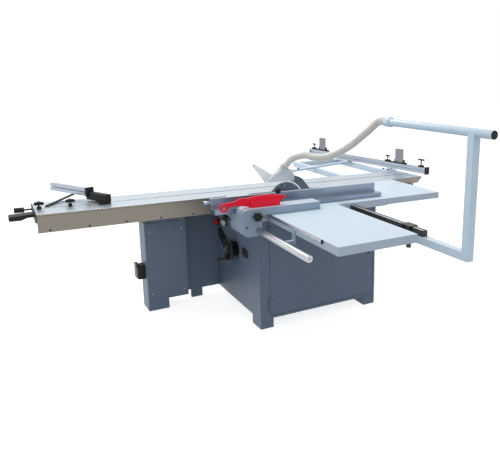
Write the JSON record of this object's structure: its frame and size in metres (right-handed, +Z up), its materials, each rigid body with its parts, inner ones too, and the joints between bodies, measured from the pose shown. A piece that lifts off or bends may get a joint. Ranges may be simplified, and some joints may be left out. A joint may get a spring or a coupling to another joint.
{
  "type": "sliding table saw",
  "caption": "Sliding table panel saw: steel cabinet, tilting saw unit, long aluminium sliding table, rip and crosscut fences, outrigger and overhead dust arm with hose.",
  "frame": {"origin": "on the floor, in the middle of the cabinet's four foot bolts", "axes": "+X from the sliding table to the rip fence side, +Y along the feed, away from the operator, +Z up"},
  "size_m": [3.8491, 3.4323, 1.533],
  "materials": {
    "grey_paint": "satin blue-grey paint",
    "pale_paint": "satin pale grey paint",
    "table_iron": "ground and waxed",
    "aluminium": "satin anodised",
    "steel": "turned",
    "blade_steel": "ground",
    "black_plastic": "moulded",
    "black_paint": "satin black",
    "dark_iron": "as cast",
    "grey_plastic": "moulded",
    "red_plastic": "moulded",
    "rubber": "plain",
    "guard_plastic": "pale and slightly cloudy",
    "hose_plastic": "ribbed"
  },
  "bodies": {
    "base": {"cabinet_shell": "grey_paint", "cabinet_right": "grey_paint", "feet": "grey_paint", "column": "grey_paint", "fixed_beam": "aluminium", "main_table": "table_iron", "rear_table": "table_iron", "right_table": "table_iron", "table_insert": "aluminium", "round_bar": "steel", "bar_brackets": "steel", "scale_rail": "aluminium", "switch_base": "black_plastic", "trunnion_tracks": "dark_iron", "arm_rail": "black_paint", "dust_arm": "pale_paint", "arm_tube": "pale_paint", "hose_upper": "hose_plastic"},
    "door": {"door": "grey_paint"},
    "lid": {"switch_lid": "grey_plastic"},
    "stop": {"stop_button": "red_plastic"},
    "start": {"start_button": "grey_plastic"},
    "slide": {"sliding_table": "aluminium", "table_ends": "black_plastic", "push_handle": "black_plastic", "mitre_base": "black_plastic", "outrigger_frame": "pale_paint"},
    "lock": {"lock_knob": "black_plastic"},
    "tee_front": {"tee_knob_front": "black_plastic"},
    "tee_rear": {"tee_knob_rear": "black_plastic"},
    "rollers": {"roller_cage": "steel"},
    "mitre": {"mitre_block": "black_plastic", "mitre_fence": "aluminium"},
    "crosscut": {"crosscut_fence": "aluminium", "fence_caps": "black_plastic"},
    "near_stop": {"stop_near": "black_plastic"},
    "near_flap": {"stop_near_flap": "aluminium"},
    "far_stop": {"stop_far": "black_plastic"},
    "far_flap": {"stop_far_flap": "aluminium"},
    "carrier": {"rip_carrier": "pale_paint", "fence_clamp": "black_plastic", "stick_holder": "red_plastic", "push_stick": "red_plastic"},
    "lever": {"carrier_lever": "black_plastic"},
    "star": {"star_knob": "black_plastic"},
    "rip": {"rip_fence": "aluminium"},
    "tilt": {"tilt_cradle": "dark_iron", "guide_rods": "steel"},
    "rise": {"rise_carriage": "dark_iron", "motor": "black_paint", "drive_belt": "rubber", "riving_knife": "steel", "blade_guard": "guard_plastic", "hose_lower": "hose_plastic"},
    "blade": {"arbor": "steel", "main_blade": "blade_steel"},
    "drive": {"motor_pulley": "steel"},
    "scoring": {"scoring_blade": "blade_steel"},
    "wheel": {"handwheel": "black_plastic"},
    "screw": {"lead_screw": "steel"}
  },
  "joints": [
    {"name": "table_slide", "type": "slide", "parent": "base", "child": "slide", "axis": [0, 1, 0], "range_m": [-1.3, 1.3]},
    {"name": "roller_slide", "type": "slide", "parent": "base", "child": "rollers", "axis": [0, 1, 0], "range_m": [-0.65, 0.65]},
    {"name": "lock_turn", "type": "hinge", "parent": "slide", "child": "lock", "pos_m": [-0.472, -1.812, 0.848], "axis": [0, 1, 0], "range_deg": [-90, 90]},
    {"name": "tee_front_turn", "type": "hinge", "parent": "slide", "child": "tee_front", "pos_m": [-0.362, -1.731, 0.87], "axis": [0, 0, 1], "continuous": true},
    {"name": "tee_rear_turn", "type": "hinge", "parent": "slide", "child": "tee_rear", "pos_m": [-0.362, -1.542, 0.87], "axis": [0, 0, 1], "continuous": true},
    {"name": "mitre_swing", "type": "hinge", "parent": "slide", "child": "mitre", "pos_m": [-0.362, -1.332, 0.9], "axis": [0, 0, 1], "range_deg": [-28, 17]},
    {"name": "crosscut_swing", "type": "hinge", "parent": "slide", "child": "crosscut", "pos_m": [-0.64, 1.414, 0.91], "axis": [0, 0, 1], "range_deg": [-9, 36]},
    {"name": "stop_near_slide", "type": "slide", "parent": "crosscut", "child": "near_stop", "axis": [-0.9877, -0.1564, 0], "range_m": [-0.17, 0.6]},
    {"name": "stop_near_flip", "type": "hinge", "parent": "near_stop", "child": "near_flap", "pos_m": [-0.48253, 1.41059, 0.99], "axis": [0.9877, 0.1564, 0], "range_deg": [0, 170]},
    {"name": "stop_far_slide", "type": "slide", "parent": "crosscut", "child": "far_stop", "axis": [-0.9877, -0.1564, 0], "range_m": [-0.25, 0.02]},
    {"name": "stop_far_flip", "type": "hinge", "parent": "far_stop", "child": "far_flap", "pos_m": [-1.70035, 1.21771, 0.99], "axis": [0.9877, 0.1564, 0], "range_deg": [0, 170]},
    {"name": "rip_slide", "type": "slide", "parent": "base", "child": "carrier", "axis": [1, 0, 0], "range_m": [-0.36, 0.55]},
    {"name": "lever_turn", "type": "hinge", "parent": "carrier", "child": "lever", "pos_m": [0.331, -0.623, 0.8], "axis": [1, 0, 0], "range_deg": [0, 60]},
    {"name": "star_turn", "type": "hinge", "parent": "carrier", "child": "star", "pos_m": [0.585, -0.553, 0.872], "axis": [1, 0, 0], "continuous": true},
    {"name": "fence_slide", "type": "slide", "parent": "carrier", "child": "rip", "axis": [0, 1, 0], "range_m": [-0.2, 0.4]},
    {"name": "saw_tilt", "type": "hinge", "parent": "base", "child": "tilt", "pos_m": [-0.122, 0, 0.87], "axis": [0, 1, 0], "range_deg": [0, 45], "deforming": ["hose_lower", "hose_upper"]},
    {"name": "saw_rise", "type": "slide", "parent": "tilt", "child": "rise", "axis": [0, 0, 1], "range_m": [-0.085, 0.005], "deforming": ["hose_lower", "hose_upper"]},
    {"name": "blade_spin", "type": "hinge", "parent": "rise", "child": "blade", "pos_m": [-0.122, -0.008, 0.8], "axis": [1, 0, 0], "continuous": true},
    {"name": "motor_spin", "type": "hinge", "parent": "rise", "child": "drive", "pos_m": [0.15, 0.17, 0.59], "axis": [1, 0, 0], "continuous": true},
    {"name": "scoring_spin", "type": "hinge", "parent": "tilt", "child": "scoring", "pos_m": [-0.122, -0.248, 0.812], "axis": [1, 0, 0], "continuous": true},
    {"name": "handwheel_turn", "type": "hinge", "parent": "tilt", "child": "wheel", "pos_m": [-0.00622, -0.5, 0.4913], "axis": [0, 1, 0], "range_deg": [-1440, 1440]},
    {"name": "screw_turn", "type": "hinge", "parent": "tilt", "child": "screw", "pos_m": [-0.00622, -0.13, 0.56], "axis": [0, 0, 1], "range_deg": [-1440, 1440]},
    {"name": "door_swing", "type": "hinge", "parent": "base", "child": "door", "pos_m": [0.457, -0.415, 0.445], "axis": [0, 0, -1], "range_deg": [0, 90]},
    {"name": "lid_flip", "type": "hinge", "parent": "base", "child": "lid", "pos_m": [-0.385, -1.137, 0.366], "axis": [-1, 0, 0], "range_deg": [0, 100]},
    {"name": "stop_press", "type": "slide", "parent": "base", "child": "stop", "axis": [0, 1, 0], "range_m": [0, 0.004], "stiffness_N_per_m": 400},
    {"name": "start_press", "type": "slide", "parent": "base", "child": "start", "axis": [0, 1, 0], "range_m": [0, 0.004], "stiffness_N_per_m": 400}
  ],
  "couplings": [
    {"joint": "roller_slide", "follows": "table_slide", "ratio": 0.5},
    {"joint": "motor_spin", "follows": "blade_spin", "ratio": 0.72727},
    {"joint": "handwheel_turn", "follows": "saw_rise", "rad_per_m": -251.33},
    {"joint": "screw_turn", "follows": "saw_rise", "rad_per_m": -251.33}
  ]
}
